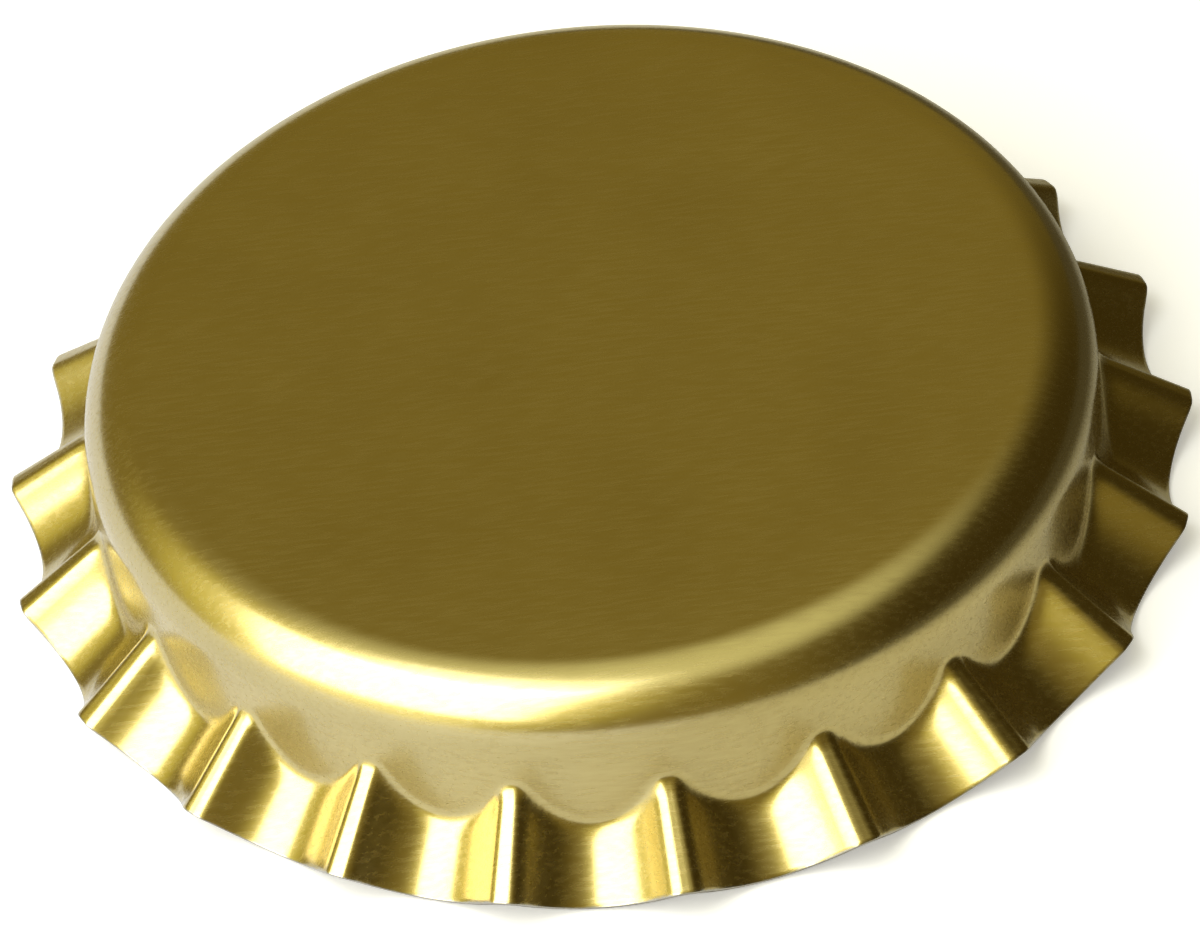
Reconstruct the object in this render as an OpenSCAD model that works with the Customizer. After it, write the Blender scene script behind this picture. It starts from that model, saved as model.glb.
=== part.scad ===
// Pressed metal bottle cap with a moulded sealing liner, open side down.
// The foot of the skirt rests on z = 0 and the cap's axis is +Z. Millimetres.

/* [Cap] */
// Overall height, from the foot of the skirt to the top panel
cap_h = 6; // [5:0.1:8]
// Inside diameter of the plain body, which takes the bottle's lip
inner_d = 26.7; // [20:0.1:34]
// Thickness of the metal sheet
sheet_t = 0.24; // [0.18:0.01:0.3]
// Outer radius of the corner between the top panel and the body
corner_r = 1.8; // [1:0.1:2.2]

/* [Flutes] */
// Number of flutes around the skirt
flutes = 21; // [18:1:24]
// How far the crests reach out past the body
crest_reach = 2.45; // [1.8:0.05:3]
// How far the valleys reach out past the body
valley_reach = 1.68; // [1.3:0.02:2.04]
// Height at which the crests leave the body
crest_top = 3; // [2.4:0.05:3.5]
// Height of the crests' cut ends
crest_foot = 1.15; // [0.9:0.05:1.4]
// Height at which the valleys leave the body
valley_top = 1.58; // [1.3:0.02:1.9]
// Width of a crest between the valleys' edges
crest_w = 0.7; // [0.6:0.05:0.9]
// Shape of a valley's section, from a shallow dish at 0 to half an ellipse at 1
valley_round = 0.85; // [0.7:0.01:0.9]
// Depth over which a crest's two edges are rounded
crest_blend = 0.55; // [0.3:0.05:0.7]
// Depth over which the bend out of the body is rounded
bend_blend = 0.35; // [0.2:0.05:0.6]

/* [Liner] */
// Thickness of the liner under the middle of the panel
web_t = 0.3; // [0.2:0.05:0.5]
// Thickness of the raised land that the bottle's lip presses on
land_t = 0.85; // [0.6:0.05:1.1]
// Width of the land, inwards from the inside of the body
land_w = 3.25; // [3:0.05:5]
// Radius of the two sealing beads on the land
bead_r = 0.2; // [0.1:0.05:0.3]
// How far the outer bead is from the inside of the body
outer_bead_in = 1.15; // [0.9:0.05:1.3]
// How far the inner bead is from the inside of the body
inner_bead_in = 2.55; // [2:0.05:2.7]
// Clearance between the liner's edge and the body
liner_gap = 0.04; // [0.02:0.01:0.1]

/* [Hidden] */
$fn = 128;

pitch = 360 / flutes;
inner_r = inner_d / 2;
body_r = inner_r + sheet_t;
crest_r = body_r + crest_reach;
valley_r = body_r + valley_reach;
panel_under = cap_h - sheet_t;

// The fluted skirt is joined to the plain body just above the bend,
// with its top edge sunk into the thickness of the sheet.
join_z = crest_top + 0.75 * bend_blend;
join_lap = 0.2;
join_sink = 0.01;
body_corner = min(corner_r, cap_h - join_z - 0.1);

// How far the crests, the valleys and the cut edge move for each millimetre of height or reach
crest_slope = crest_reach / (crest_top - crest_foot);
valley_foot = foot_after(8, 0);
valley_slope = valley_reach / (valley_top - valley_foot);
edge_rise = (crest_foot - valley_foot) / (crest_r - valley_r);

// Turn from a valley's middle to its edge
valley_half = pitch / 2 - asin(crest_w / 2 / crest_r);

// Mesh of the skirt: columns from a valley's middle to a crest, closer together at the crest
half_columns = 6;
crest_crowding = 1.6;
skirt_rows = 8;
column_turns = [for (i = [-half_columns + 1 : half_columns])
    sign(i) * pitch / 2 * (1 - (1 - abs(i) / half_columns) ^ crest_crowding)];

// Height of the sheet's outer face at a valley's foot, which puts its inner edge on z = 0
function foot_after(tries, foot) = tries == 0 ? foot
    : foot_after(tries - 1, sheet_t * sin(atan(valley_reach / (valley_top - foot))));

// The smaller and the larger of two values, rounded where they are within blend of each other
function soft_min(a, b, blend) =
    let (near = max(blend - abs(a - b), 0)) min(a, b) - near ^ 2 / (4 * blend);
function soft_max(a, b, blend) = -soft_min(-a, -b, blend);

// Share of the way from a valley's bottom out to the crests, at a turn from the valley's middle
function bowl(turn) = (1 - sqrt(max(1 - (valley_round * turn / valley_half) ^ 2, 0)))
    / (1 - sqrt(1 - valley_round ^ 2));

// Radius of the skirt's outer face
function skirt_radius(turn, z) =
    let (crest = crest_r - (z - crest_foot) * crest_slope,
        valley = valley_r - (z - valley_foot) * valley_slope,
        fluted = soft_min(crest, valley + (crest - valley) * bowl(turn), crest_blend))
    soft_max(body_r, fluted, bend_blend);

// Height at which a column reaches the cut edge, found by halving
function edge_height(turn, low, high, tries) =
    let (mid = (low + high) / 2)
    tries == 0 ? mid
        : mid < crest_foot + (skirt_radius(turn, mid) - crest_r) * edge_rise
            ? edge_height(turn, mid, high, tries - 1)
            : edge_height(turn, low, mid, tries - 1);

// A point of the sheet, sunk below the outer face by depth, square to that face
function sheet_point(turn, z, depth) =
    let (step = 0.01,
        r = skirt_radius(turn, z),
        around = (skirt_radius(turn + step, z) - skirt_radius(turn - step, z))
            / (2 * step * PI / 180 * r),
        down = (skirt_radius(turn, z + step) - skirt_radius(turn, z - step)) / (2 * step),
        scale = depth / norm([1, around, down]))
    [r - scale, around * scale, z + down * scale];

// One column of the skirt at a turn from its valley's middle, set in place by the valley's angle
function column(turn, valley_angle, depth, top_r) =
    let (edge_z = edge_height(turn, -1, join_z, 24), angle = turn + valley_angle)
    concat([[top_r * cos(angle), top_r * sin(angle), join_z + join_lap]],
        [for (row = [0 : skirt_rows])
            let (z = join_z - join_lap + (edge_z - join_z + join_lap) * row / skirt_rows,
                p = sheet_point(turn, z, depth))
            [p.x * cos(angle) - p.y * sin(angle), p.x * sin(angle) + p.y * cos(angle), p.z]]);

// Solid of revolution's half outline: a block with a rounded upper outer corner
module corner_block(r, low, high, corner) {
    translate([0, low]) square([r - corner, high - low]);
    translate([0, low]) square([r, high - corner - low]);
    translate([r - corner, high - corner]) circle(corner);
}

// Top panel, corner and plain body
module plain_body() {
    rotate_extrude() difference() {
        corner_block(body_r, join_z, cap_h, body_corner);
        corner_block(inner_r, join_z - 1, panel_under, body_corner - sheet_t);
    }
}

// Skirt of bent sheet: the outer face's columns, then the inner face's
module fluted_skirt() {
    outer = [for (flute = [0 : flutes - 1], turn = column_turns)
        each column(turn, (flute + 0.5) * pitch, 0, body_r - join_sink)];
    inner = [for (flute = [0 : flutes - 1], turn = column_turns)
        each column(turn, (flute + 0.5) * pitch, sheet_t, inner_r + join_sink)];
    columns = flutes * len(column_turns);
    rows = skirt_rows + 2;
    inside = columns * rows;
    faces = [for (c = [0 : columns - 1])
        let (a = c * rows, b = (c + 1) % columns * rows, last = rows - 1)
        each concat(
            [for (row = [0 : last - 1]) each [
                [a + row, b + row, b + row + 1], [a + row, b + row + 1, a + row + 1],
                [inside + a + row, inside + b + row + 1, inside + b + row],
                [inside + a + row, inside + a + row + 1, inside + b + row + 1]]],
            [[a, inside + b, b], [a, inside + a, inside + b],
                [a + last, b + last, inside + b + last],
                [a + last, inside + b + last, inside + a + last]])];
    polyhedron(concat(outer, inner), faces, convexity = 6);
}

module metal_shell() {
    color([0.66, 0.56, 0.28]) union() {
        plain_body();
        fluted_skirt();
    }
}

// Liner moulded against the underside of the panel: a thin web and a raised land with two beads
module sealing_liner() {
    land_under = panel_under - land_t;
    edge_r = inner_r - liner_gap;
    color("gainsboro") rotate_extrude() {
        intersection() {
            corner_block(edge_r, land_under, panel_under, body_corner - sheet_t - liner_gap);
            union() {
                translate([0, panel_under - web_t]) square([edge_r, web_t]);
                translate([inner_r - land_w, land_under]) square([land_w - liner_gap, land_t]);
            }
        }
        translate([inner_r - inner_bead_in, land_under]) circle(bead_r);
        translate([inner_r - outer_bead_in, land_under]) circle(bead_r);
    }
}

metal_shell();
sealing_liner();
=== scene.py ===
import bpy
import math
from mathutils import Matrix, Vector


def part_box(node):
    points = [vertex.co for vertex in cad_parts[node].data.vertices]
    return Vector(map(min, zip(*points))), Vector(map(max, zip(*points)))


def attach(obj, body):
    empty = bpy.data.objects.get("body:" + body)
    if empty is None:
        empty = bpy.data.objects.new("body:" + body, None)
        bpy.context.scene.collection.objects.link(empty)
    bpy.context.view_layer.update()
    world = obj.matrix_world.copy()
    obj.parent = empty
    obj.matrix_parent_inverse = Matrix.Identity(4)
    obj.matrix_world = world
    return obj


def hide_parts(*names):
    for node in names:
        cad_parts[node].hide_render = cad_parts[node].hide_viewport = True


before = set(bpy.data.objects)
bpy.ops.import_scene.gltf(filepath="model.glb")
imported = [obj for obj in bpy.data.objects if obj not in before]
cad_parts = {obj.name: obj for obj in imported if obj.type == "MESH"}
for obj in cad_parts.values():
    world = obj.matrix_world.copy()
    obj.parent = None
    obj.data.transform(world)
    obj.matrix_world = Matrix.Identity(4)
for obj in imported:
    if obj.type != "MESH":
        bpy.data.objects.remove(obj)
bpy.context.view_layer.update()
print("frame loaded:", ", ".join(sorted(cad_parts)))

mm = 0.001
hair = 0.001 * mm  # points closer than this are one


def nothingSelected():
    if bpy.context.object and bpy.context.object.mode != "OBJECT":
        bpy.ops.object.mode_set(mode="OBJECT")
    bpy.ops.object.select_all(action="DESELECT")


def onlyThis(piece):
    nothingSelected()
    piece.select_set(True)
    bpy.context.view_layer.objects.active = piece


def applyModifiers(piece):
    onlyThis(piece)
    for modifier in list(piece.modifiers):
        bpy.ops.object.modifier_apply(modifier=modifier.name)


def spunProfile(name, points, steps):  # a line of (radius, height) points, turned once round the axis
    nothingSelected()
    bpy.ops.mesh.primitive_plane_add(size=mm, location=(0, 0, 0))
    piece = bpy.context.object
    piece.name = name
    bpy.ops.object.mode_set(mode="EDIT")
    bpy.ops.mesh.select_mode(type="VERT")
    bpy.ops.mesh.merge(type="CENTER")
    bpy.ops.transform.translate(value=(points[0][0], 0, points[0][1]))
    for (r, z), (nextR, nextZ) in zip(points, points[1:]):
        bpy.ops.mesh.extrude_vertices_move(TRANSFORM_OT_translate={"value": (nextR - r, 0, nextZ - z)})
    bpy.ops.mesh.select_all(action="SELECT")
    bpy.ops.mesh.spin(steps=steps, angle=2 * math.pi, center=(0, 0, 0), axis=(0, 0, 1))
    bpy.ops.mesh.select_all(action="SELECT")
    bpy.ops.mesh.remove_doubles(threshold=hair)
    bpy.ops.mesh.normals_make_consistent(inside=False)
    bpy.ops.object.mode_set(mode="OBJECT")
    return piece


def arcPoints(centre, radius, start, end, count):  # angles in degrees from the radius direction
    places = []
    for i in range(count + 1):
        a = math.radians(start + (end - start) * i / count)
        places.append((centre[0] + radius * math.cos(a), centre[1] + radius * math.sin(a)))
    return places


def linePoints(start, end, count):  # the start is left out
    steps = [i / count for i in range(1, count + 1)]
    return [(start[0] + (end[0] - start[0]) * t, start[1] + (end[1] - start[1]) * t) for t in steps]


# shell: one disc of sheet, drawn to a cup and fluted

shellLow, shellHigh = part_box("metal_shell")

shell = {
    "flutes": 21,
    "sheet": 0.24 * mm,
    "crestRadius": shellHigh.x,  # out to the crests' ends
    "bodyRadius": 13.59 * mm,    # plain body, outside
    "valleyRadius": 15.27 * mm,  # out to the valleys' feet
    "top": shellHigh.z,
    "corner": 1.8 * mm,
    "crestTop": 3 * mm,          # height where the crests leave the body
    "crestFoot": 1.15 * mm,      # height of the crests' cut ends
    "valleyTop": 1.58 * mm,
    "crestWidth": 0.7 * mm,
    "valleyRound": 0.85,         # 1 makes a valley's section half an ellipse, 0 a shallow dish
    "crestBlend": 0.55 * mm,
    "bendBlend": 0.35 * mm,
    "strayAt": 265.7,            # degrees round from X, where some crests are out of step
    "strayBy": 1.4,              # degrees
    "strayOver": 29,             # degrees to each side
    "columnsPerFlute": 28,
    "crowding": 1.4,             # how much closer the columns are at the crests
    "panelRings": 5,
    "cornerRings": 14,
    "bodyRings": 4,
    "skirtRings": 34,
    "cutAngle": 55,              # degrees, past which an edge of the sheet is rounded
    "cutRounding": 0.03 * mm,
    "sharpAngle": 50,            # degrees, past which an edge is shaded sharp
}


def softMin(a, b, blend):
    near = max(blend - abs(a - b), 0)
    return min(a, b) - near * near / (4 * blend)


def softMax(a, b, blend):
    return -softMin(-a, -b, blend)


def fluteForm(s):  # what follows from the sizes above
    reach = s["valleyRadius"] - s["bodyRadius"]
    foot = 0
    for _ in range(8):  # the sheet's lower edge stands on the floor
        foot = s["sheet"] * math.sin(math.atan(reach / (s["valleyTop"] - foot)))
    pitch = 2 * math.pi / s["flutes"]
    return {
        "pitch": pitch,
        "bend": s["crestTop"] + 0.75 * s["bendBlend"],
        "valleyFoot": foot,
        "valleyHalf": pitch / 2 - math.asin(s["crestWidth"] / 2 / s["crestRadius"]),
        "crestSlope": (s["crestRadius"] - s["bodyRadius"]) / (s["crestTop"] - s["crestFoot"]),
        "valleySlope": reach / (s["valleyTop"] - foot),
        "edgeRise": (s["crestFoot"] - foot) / (s["crestRadius"] - s["valleyRadius"]),
    }


def skirtRadius(s, form, turn, z):  # turn is from the middle of a valley
    crest = s["crestRadius"] - (z - s["crestFoot"]) * form["crestSlope"]
    valley = s["valleyRadius"] - (z - form["valleyFoot"]) * form["valleySlope"]
    bowl = 1 - math.sqrt(max(1 - (s["valleyRound"] * turn / form["valleyHalf"]) ** 2, 0))
    bowl /= 1 - math.sqrt(1 - s["valleyRound"] ** 2)
    fluted = softMin(crest, valley + (crest - valley) * bowl, s["crestBlend"])
    return softMax(s["bodyRadius"], fluted, s["bendBlend"])


def edgeHeight(s, form, turn):  # height of the cut edge, found by halving
    low, high = -s["sheet"], form["bend"]
    for _ in range(24):
        z = (low + high) / 2
        if z < s["crestFoot"] + (skirtRadius(s, form, turn, z) - s["crestRadius"]) * form["edgeRise"]:
            low = z
        else:
            high = z
    return (low + high) / 2


def strayTurn(s, angle):  # crests that the press left out of step
    away = (math.degrees(angle) - s["strayAt"] + 180) % 360 - 180
    return -math.radians(s["strayBy"]) * math.exp(-(away / s["strayOver"]) ** 2)


def cupProfile(s, bend, foot):
    panel = s["bodyRadius"] - s["corner"]
    cornerFoot = s["top"] - s["corner"]
    points = [(panel * i / s["panelRings"], s["top"]) for i in range(s["panelRings"])]
    points += arcPoints((panel, cornerFoot), s["corner"], 90, 0, s["cornerRings"])
    points += linePoints((s["bodyRadius"], cornerFoot), (s["bodyRadius"], bend), s["bodyRings"])
    points += linePoints((s["bodyRadius"], bend), (s["bodyRadius"], foot), s["skirtRings"])
    return points


def pressFlutes(piece, s, form, foot):
    bend = form["bend"]
    edges = {}
    for vertex in piece.data.vertices:
        x, y, z = vertex.co
        r = math.hypot(x, y)
        if r < hair:
            continue
        turns = math.atan2(y, x) / form["pitch"]
        valley = math.floor(turns) + 0.5
        across = 2 * (turns - valley)
        across = math.copysign(1 - (1 - min(abs(across), 1)) ** s["crowding"], across)
        turn = across * form["pitch"] / 2
        if z < bend - hair:
            key = round(turn, 6)
            if key not in edges:
                edges[key] = edgeHeight(s, form, turn)
            z = bend + (edges[key] - bend) * (bend - z) / (bend - foot)
            r = skirtRadius(s, form, turn, z)
        angle = turn + valley * form["pitch"]
        angle += strayTurn(s, angle)
        vertex.co = (r * math.cos(angle), r * math.sin(angle), z)


def pressedShell(s):
    form = fluteForm(s)
    foot = shellLow.z
    columns = s["flutes"] * s["columnsPerFlute"]
    piece = spunProfile("pressed_shell", cupProfile(s, form["bend"], foot), columns)
    pressFlutes(piece, s, form, foot)
    thick = piece.modifiers.new("sheet", "SOLIDIFY")
    thick.thickness = s["sheet"]
    thick.offset = -1
    thick.use_even_offset = True
    thick.material_offset = 1
    thick.material_offset_rim = 2
    cut = piece.modifiers.new("cut edge", "BEVEL")
    cut.limit_method = "ANGLE"
    cut.angle_limit = math.radians(s["cutAngle"])
    cut.width = s["cutRounding"]
    cut.segments = 2
    for material in (goldLacquer(), insideLacquer(), bareEdge()):
        piece.data.materials.append(material)
    applyModifiers(piece)
    bpy.ops.object.shade_smooth_by_angle(angle=math.radians(s["sharpAngle"]))
    return piece


# liner: soft compound moulded under the panel

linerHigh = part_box("sealing_liner")[1]

liner = {
    "edge": linerHigh.x,
    "top": linerHigh.z,
    "corner": 1.52 * mm,
    "web": 0.3 * mm,
    "land": 0.85 * mm,
    "landStart": 10.1 * mm,
    "step": 0.25 * mm,                # rounding where the web meets the land
    "beads": (10.8 * mm, 12.2 * mm),  # how far out each bead runs
    "beadRadius": 0.2 * mm,
    "webRings": 8,
    "stepPoints": 5,
    "beadPoints": 10,
    "cornerPoints": 10,
    "columns": 192,
    "sharpAngle": 35,
}


def linerProfile(s):
    under = s["top"] - s["land"]
    web = s["top"] - s["web"]
    points = [(s["landStart"] * i / s["webRings"], web) for i in range(s["webRings"] - 1)]
    points += arcPoints((s["landStart"] - s["step"], web - s["step"]), s["step"], 90, 0, s["stepPoints"])
    points.append((s["landStart"], under))
    for out in s["beads"]:
        points += arcPoints((out, under), s["beadRadius"], 180, 360, s["beadPoints"])
    centre = s["top"] - s["corner"]
    drop = math.degrees(math.asin((under - centre) / s["corner"]))
    points += arcPoints((s["edge"] - s["corner"], centre), s["corner"], drop, 90, s["cornerPoints"])
    points.append((0, s["top"]))
    return points


def mouldedLiner(s):
    piece = spunProfile("moulded_liner", linerProfile(s), s["columns"])
    piece.data.materials.append(linerCompound())
    onlyThis(piece)
    bpy.ops.object.shade_smooth_by_angle(angle=math.radians(s["sharpAngle"]))
    return piece


# materials

noiseMiddle = (0.35, 0.65)  # values of a noise that become the ends of what it drives
noiseWide = (0.3, 0.7)


def newMaterial(name):
    material = bpy.data.materials.new(name)
    material.use_nodes = True
    tree = material.node_tree
    return material, tree, tree.nodes["Principled BSDF"]


def socket(group, name, way, kind, value=None):
    made = group.interface.new_socket(name=name, in_out=way, socket_type=kind)
    if value is not None:
        made.default_value = value
    return made


def noise(nodes, links, vector, scale, detail, name):
    made = nodes.new("ShaderNodeTexNoise")
    made.label = name
    made.inputs["Scale"].default_value = scale
    made.inputs["Detail"].default_value = detail
    links.new(vector, made.inputs["Vector"])
    return made.outputs["Fac"]


def maths(nodes, links, operation, first, second):
    made = nodes.new("ShaderNodeMath")
    made.operation = operation
    for entry, value in zip(made.inputs, (first, second)):
        if isinstance(value, (int, float)):
            entry.default_value = value
        else:
            links.new(value, entry)
    return made.outputs["Value"]


def ramp(nodes, links, value, low, high, toLow, toHigh):
    made = nodes.new("ShaderNodeMapRange")
    made.interpolation_type = "SMOOTHSTEP"
    for entry, amount in (("From Min", low), ("From Max", high), ("To Min", toLow), ("To Max", toHigh)):
        made.inputs[entry].default_value = amount
    links.new(value, made.inputs["Value"])
    return made.outputs["Result"]


def blendColours(nodes, links, factor, colourLow, colourHigh):
    made = nodes.new("ShaderNodeMix")
    made.data_type = "RGBA"
    links.new(factor, made.inputs["Factor"])
    for entry, colour in ((made.inputs[6], colourLow), (made.inputs[7], colourHigh)):
        if isinstance(colour, tuple):
            entry.default_value = colour
        else:
            links.new(colour, entry)
    return made.outputs[2]


def bump(nodes, links, height, strength, distance):
    made = nodes.new("ShaderNodeBump")
    made.inputs["Strength"].default_value = strength
    made.inputs["Distance"].default_value = distance
    links.new(height, made.inputs["Height"])
    return made


grain = {
    "rolledTurn": 12,        # degrees from X, the way the sheet was rolled
    "rolledStretch": 0.12,   # scale along the grain for 1 across it
    "rolledScale": 9000,
    "peelScale": 2600,
    "toneScale": 260,
    "raggedScale": 5000,     # the uneven border of the bare metal beside the cut
    "wearFade": 0.04 * mm,
}


def sheetGrainGroup():  # rolled grain, orange peel of the lacquer, and slow changes of tone
    if "sheetGrain" in bpy.data.node_groups:
        return bpy.data.node_groups["sheetGrain"]
    group = bpy.data.node_groups.new("sheetGrain", "ShaderNodeTree")
    for name in ("Rolled", "Peel", "Tone"):
        socket(group, name, "OUTPUT", "NodeSocketFloat")
    nodes, links = group.nodes, group.links
    outputs = nodes.new("NodeGroupOutput")
    place = nodes.new("ShaderNodeTexCoord").outputs["Object"]
    along = nodes.new("ShaderNodeMapping")
    along.inputs["Rotation"].default_value = (0, 0, math.radians(grain["rolledTurn"]))
    along.inputs["Scale"].default_value = (grain["rolledStretch"], 1, 1)
    links.new(place, along.inputs["Vector"])
    rolled = noise(nodes, links, along.outputs["Vector"], grain["rolledScale"], 3, "rolled grain")
    links.new(rolled, outputs.inputs["Rolled"])
    links.new(noise(nodes, links, place, grain["peelScale"], 1, "orange peel"), outputs.inputs["Peel"])
    links.new(noise(nodes, links, place, grain["toneScale"], 2, "tone"), outputs.inputs["Tone"])
    return group


def cutWearGroup():  # 1 where the lacquer has come off beside the cut edge
    if "cutWear" in bpy.data.node_groups:
        return bpy.data.node_groups["cutWear"]
    form = fluteForm(shell)
    group = bpy.data.node_groups.new("cutWear", "ShaderNodeTree")
    socket(group, "Width", "INPUT", "NodeSocketFloat", 0.1 * mm)
    socket(group, "Wear", "OUTPUT", "NodeSocketFloat")
    nodes, links = group.nodes, group.links
    inputs = nodes.new("NodeGroupInput")
    outputs = nodes.new("NodeGroupOutput")
    place = nodes.new("ShaderNodeTexCoord").outputs["Object"]
    axes = nodes.new("ShaderNodeSeparateXYZ")
    links.new(place, axes.inputs["Vector"])
    flat = nodes.new("ShaderNodeVectorMath")
    flat.operation = "MULTIPLY"
    flat.inputs[1].default_value = (1, 1, 0)
    links.new(place, flat.inputs[0])
    reach = nodes.new("ShaderNodeVectorMath")
    reach.operation = "LENGTH"
    links.new(flat.outputs["Vector"], reach.inputs[0])
    rise = maths(nodes, links, "MULTIPLY", reach.outputs["Value"], form["edgeRise"])
    above = maths(nodes, links, "SUBTRACT", axes.outputs["Z"], rise)
    above = maths(nodes, links, "ADD", above, form["edgeRise"] * shell["crestRadius"] - shell["crestFoot"])
    ragged = noise(nodes, links, place, grain["raggedScale"], 3, "ragged")
    ragged = maths(nodes, links, "MULTIPLY", ragged, inputs.outputs["Width"])
    bare = maths(nodes, links, "SUBTRACT", ragged, above)
    fade = grain["wearFade"]
    links.new(ramp(nodes, links, bare, -fade, fade, 0, 1), outputs.inputs["Wear"])
    return group


gold = {
    "colour": (0.66, 0.56, 0.25, 1),
    "colourDeep": (0.60, 0.50, 0.21, 1),
    "roughness": 0.25,
    "coatRoughness": 0.14,
    "wear": 0.16 * mm,           # most that the lacquer is worn back from the cut
}

insideGold = {
    "colour": (0.72, 0.64, 0.40, 1),
    "colourDeep": (0.66, 0.58, 0.34, 1),
    "roughness": 0.30,
    "coatRoughness": 0.20,
    "wear": 0.20 * mm,
}

finish = {
    "streaks": 0.55,             # share of the rolled grain in the lacquer's tone
    "clouds": 0.45,
    "roughnessSpread": 0.04,     # to each side of the lacquer's own roughness
    "bumpStrength": 0.25,
    "grooveDepth": 0.0012 * mm,
    "peelDepth": 0.0025 * mm,
}

steel = {
    "colour": (0.56, 0.55, 0.52, 1),
    "colourDeep": (0.40, 0.38, 0.35, 1),
    "roughness": (0.3, 0.5),
    "bumpStrength": 0.4,
    "tearDepth": 0.01 * mm,
}


def lacqueredSheet(name, lacquer):
    material, tree, shader = newMaterial(name)
    nodes, links = tree.nodes, tree.links
    sheet = nodes.new("ShaderNodeGroup")
    sheet.node_tree = sheetGrainGroup()
    wear = nodes.new("ShaderNodeGroup")
    wear.node_tree = cutWearGroup()
    wear.inputs["Width"].default_value = lacquer["wear"]
    streaks = maths(nodes, links, "MULTIPLY", sheet.outputs["Rolled"], finish["streaks"])
    clouds = maths(nodes, links, "MULTIPLY", sheet.outputs["Tone"], finish["clouds"])
    tone = ramp(nodes, links, maths(nodes, links, "ADD", clouds, streaks), *noiseMiddle, 0, 1)
    colour = blendColours(nodes, links, tone, lacquer["colour"], lacquer["colourDeep"])
    colour = blendColours(nodes, links, wear.outputs["Wear"], colour, steel["colour"])
    links.new(colour, shader.inputs["Base Color"])
    smoothest = lacquer["roughness"] - finish["roughnessSpread"]
    roughest = lacquer["roughness"] + finish["roughnessSpread"]
    rough = ramp(nodes, links, sheet.outputs["Rolled"], *noiseWide, smoothest, roughest)
    links.new(rough, shader.inputs["Roughness"])
    grooves = bump(nodes, links, sheet.outputs["Rolled"], finish["bumpStrength"], finish["grooveDepth"])
    peel = bump(nodes, links, sheet.outputs["Peel"], finish["bumpStrength"], finish["peelDepth"])
    links.new(grooves.outputs["Normal"], peel.inputs["Normal"])
    links.new(peel.outputs["Normal"], shader.inputs["Normal"])
    shader.inputs["Metallic"].default_value = 1
    shader.inputs["Coat Weight"].default_value = 1
    shader.inputs["Coat Roughness"].default_value = lacquer["coatRoughness"]
    return material


def goldLacquer():
    return lacqueredSheet("gold lacquer", gold)


def insideLacquer():
    return lacqueredSheet("inside lacquer", insideGold)


def bareEdge():  # steel as the shears left it, without lacquer
    material, tree, shader = newMaterial("sheared edge")
    nodes, links = tree.nodes, tree.links
    sheet = nodes.new("ShaderNodeGroup")
    sheet.node_tree = sheetGrainGroup()
    torn = ramp(nodes, links, sheet.outputs["Peel"], *noiseMiddle, 0, 1)
    colour = blendColours(nodes, links, torn, steel["colour"], steel["colourDeep"])
    links.new(colour, shader.inputs["Base Color"])
    rough = ramp(nodes, links, sheet.outputs["Rolled"], *noiseWide, *steel["roughness"])
    links.new(rough, shader.inputs["Roughness"])
    tears = bump(nodes, links, sheet.outputs["Peel"], steel["bumpStrength"], steel["tearDepth"])
    links.new(tears.outputs["Normal"], shader.inputs["Normal"])
    shader.inputs["Metallic"].default_value = 1
    return material


compound = {
    "colour": (0.80, 0.81, 0.77, 1),
    "colourDeep": (0.72, 0.73, 0.69, 1),
    "roughness": (0.32, 0.46),
    "cloudScale": 420,
    "mattScale": 3500,
    "bumpStrength": 0.3,
    "bumpDepth": 0.01 * mm,
    "softness": 0.25,
    "lightReach": 0.6 * mm,
}


def linerCompound():  # soft moulded plastic, faintly uneven
    material, tree, shader = newMaterial("liner compound")
    nodes, links = tree.nodes, tree.links
    place = nodes.new("ShaderNodeTexCoord").outputs["Object"]
    cloudy = noise(nodes, links, place, compound["cloudScale"], 3, "cloudy")
    cloudy = ramp(nodes, links, cloudy, *noiseWide, 0, 1)
    colour = blendColours(nodes, links, cloudy, compound["colour"], compound["colourDeep"])
    links.new(colour, shader.inputs["Base Color"])
    matt = noise(nodes, links, place, compound["mattScale"], 3, "matt")
    rough = ramp(nodes, links, matt, *noiseWide, *compound["roughness"])
    links.new(rough, shader.inputs["Roughness"])
    grit = bump(nodes, links, matt, compound["bumpStrength"], compound["bumpDepth"])
    links.new(grit.outputs["Normal"], shader.inputs["Normal"])
    shader.inputs["Subsurface Weight"].default_value = compound["softness"]
    shader.inputs["Subsurface Scale"].default_value = compound["lightReach"]
    return material


# floor, light and camera

stage = {
    "lightDistance": 0.6,
    "floorSize": 4,
    "floorColour": (0.90, 0.915, 0.95, 1),
    "floorRoughness": 0.8,
    "floorLift": 0.36,                        # painted light: a glow only the camera sees, which lightens the floor's shadows but not what the metal sees
    "paintedReflectionLeft": (0.72, 0.75, 0.98, 1),       # painted reflection: the floor as the metal sees it, pale on the viewer's left and darker to the right
    "paintedReflectionRight": (0.56, 0.55, 0.52, 1),
    "floorAzimuth": 105,                      # the way from the pale to the darker side of the painted reflection, degrees
    "floorFade": (-25 * mm, 8 * mm),
    "paintedShadeFarRight": (0.05, 0.04, 0.02, 1),       # painted shade: the floor as the metal sees it goes dark far out to the right, with no card there
    "paintedShadeFade": (11 * mm, 25 * mm),
    "wallColour": (0.235, 0.175, 0.038, 1),
    "darkColour": (0.050, 0.033, 0.006, 1),
    "darkFade": (0.3, 0.88),                  # cosines of the angle from its middle
    "darkAt": (93, 9),                        # azimuth and elevation, degrees
    "haloColour": (0.78, 0.68, 0.14, 1),      # glow of the walls round the key light
    "haloFade": (0.50, 0.85),
    "haloAt": (-60, 36),
    "ceilingColour": (0.80, 0.77, 0.46, 1),
    "ceilingFade": (0.77, 0.98),
    "backdropColour": (0.9, 0.9, 0.9, 1),
}


def towards(azimuth, elevation):  # azimuth 0 is the viewer's side, and 90 is on the viewer's right
    a, e = math.radians(azimuth), math.radians(elevation)
    return Vector((math.sin(a) * math.cos(e), -math.cos(a) * math.cos(e), math.sin(e)))


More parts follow.
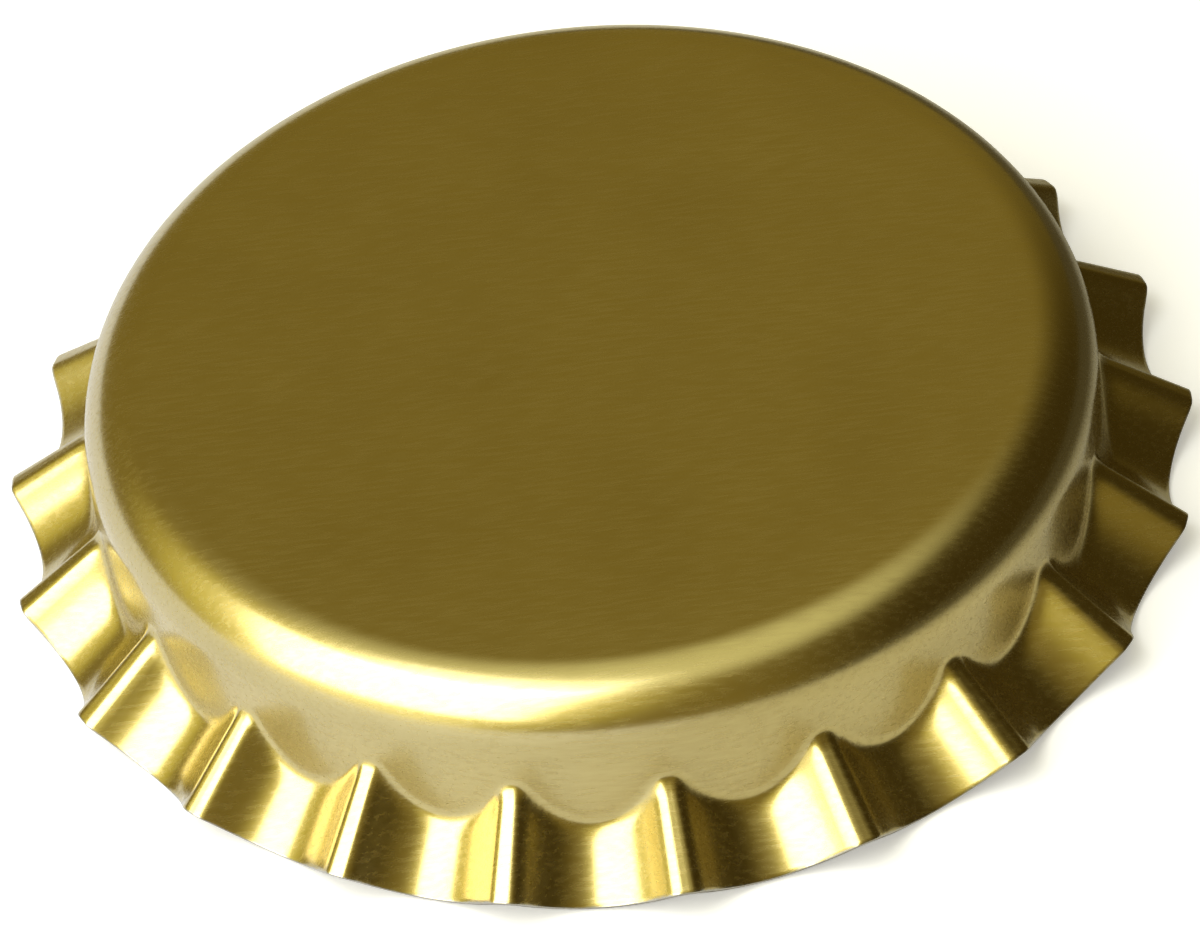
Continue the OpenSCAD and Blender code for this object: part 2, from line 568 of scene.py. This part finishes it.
def softbox(name, azimuth, elevation, roll, size, radiance):  # faces the cap
    place = towards(azimuth, elevation) * stage["lightDistance"]
    nothingSelected()
    bpy.ops.object.light_add(type="AREA", location=place)
    light = bpy.context.object
    light.name = name
    aim = (-place).to_track_quat("-Z", "Y").to_matrix()
    light.rotation_euler = (aim @ Matrix.Rotation(math.radians(roll), 3, "Z")).to_euler()
    light.data.shape = "RECTANGLE"
    light.data.size, light.data.size_y = size
    light.data.energy = radiance * math.pi * size[0] * size[1]
    light.visible_camera = False


softboxes = (  # name, azimuth, elevation and roll in degrees, size, radiance
    ("key", -54, 42, 12, (0.62, 0.60), 3.6),
    ("top", -56, 71, 0, (0.36, 0.24), 2.0),
    ("reflector", -57, 6, 0, (0.60, 0.12), 0.6),
)


def fadeBetween(nodes, links, value, low, high, colourLow, colourHigh):
    return blendColours(nodes, links, ramp(nodes, links, value, low, high, 0, 1), colourLow, colourHigh)


def reachAlong(nodes, links, place, direction):  # how far the place lies that way
    made = nodes.new("ShaderNodeVectorMath")
    made.operation = "DOT_PRODUCT"
    made.inputs[1].default_value = direction
    links.new(place, made.inputs[0])
    return made.outputs["Value"]


def paleFloor(s):
    nothingSelected()
    bpy.ops.mesh.primitive_plane_add(size=s["floorSize"], location=(0, 0, 0))
    floor = bpy.context.object
    floor.name = "floor"
    material, tree, shader = newMaterial("pale floor")
    nodes, links = tree.nodes, tree.links
    place = nodes.new("ShaderNodeTexCoord").outputs["Object"]
    # painted reflection and shade: rays other than the camera's see the floor pale on the left, darker to
    # the right and dark far out to the right
    across = reachAlong(nodes, links, place, towards(s["floorAzimuth"], 0))
    lit = fadeBetween(nodes, links, across, *s["floorFade"], s["paintedReflectionLeft"], s["paintedReflectionRight"])
    lit = fadeBetween(nodes, links, across, *s["paintedShadeFade"], lit, s["paintedShadeFarRight"])
    path = nodes.new("ShaderNodeLightPath")
    seen = fadeBetween(nodes, links, path.outputs["Is Camera Ray"], 0, 1, lit, s["floorColour"])
    links.new(seen, shader.inputs["Base Color"])
    shader.inputs["Roughness"].default_value = s["floorRoughness"]
    # painted light: the floor glows for camera rays only, so its shadows look lighter
    shader.inputs["Emission Color"].default_value = (1, 1, 1, 1)
    lift = maths(nodes, links, "MULTIPLY", path.outputs["Is Camera Ray"], s["floorLift"])
    links.new(lift, shader.inputs["Emission Strength"])
    floor.data.materials.append(material)


def dimRoom(s):  # brown walls, darker on the viewer's right, yellow near the key light, and a paler ceiling
    world = bpy.data.worlds.new("dim room")
    world.use_nodes = True
    nodes, links = world.node_tree.nodes, world.node_tree.links
    place = nodes.new("ShaderNodeTexCoord").outputs["Generated"]
    dark = reachAlong(nodes, links, place, towards(*s["darkAt"]))
    halo = reachAlong(nodes, links, place, towards(*s["haloAt"]))
    up = reachAlong(nodes, links, place, (0, 0, 1))
    walls = fadeBetween(nodes, links, dark, *s["darkFade"], s["wallColour"], s["darkColour"])
    walls = fadeBetween(nodes, links, halo, *s["haloFade"], walls, s["haloColour"])
    room = fadeBetween(nodes, links, up, *s["ceilingFade"], walls, s["ceilingColour"])
    path = nodes.new("ShaderNodeLightPath")
    seen = fadeBetween(nodes, links, path.outputs["Is Camera Ray"], 0, 1, room, s["backdropColour"])
    links.new(seen, nodes["Background"].inputs["Color"])
    bpy.context.scene.world = world


camera = {
    "distance": 297.1 * mm,
    "elevation": 43.86,   # degrees above the floor
    "aimHeight": 3 * mm,
    "tiltDown": 0.23,     # degrees below the aim
    "roll": 7.2,          # degrees
    "lens": 332.7,        # focal length, mm
    "nearest": 10 * mm,
}


def sceneCamera(c):
    e = math.radians(c["elevation"])
    place = Vector((0, -math.cos(e), math.sin(e))) * c["distance"] + Vector((0, 0, c["aimHeight"]))
    turn = Matrix.Rotation(math.pi / 2 - e - math.radians(c["tiltDown"]), 4, "X")
    turn = turn @ Matrix.Rotation(-math.radians(c["roll"]), 4, "Z")
    nothingSelected()
    bpy.ops.object.camera_add(location=place, rotation=turn.to_euler())
    made = bpy.context.object
    made.data.lens = c["lens"]
    made.data.clip_start = c["nearest"]
    bpy.context.scene.camera = made


def studio():
    bpy.context.scene.view_settings.view_transform = "Standard"
    dimRoom(stage)
    paleFloor(stage)
    for box in softboxes:
        softbox(*box)
    sceneCamera(camera)


metalShell = pressedShell(shell)
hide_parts("metal_shell")
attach(metalShell, "root")
print("shell pressed:", len(metalShell.data.polygons), "faces")

sealingLiner = mouldedLiner(liner)
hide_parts("sealing_liner")
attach(sealingLiner, "root")
print("liner moulded:", len(sealingLiner.data.polygons), "faces")

studio()
print("floor, light and camera set")
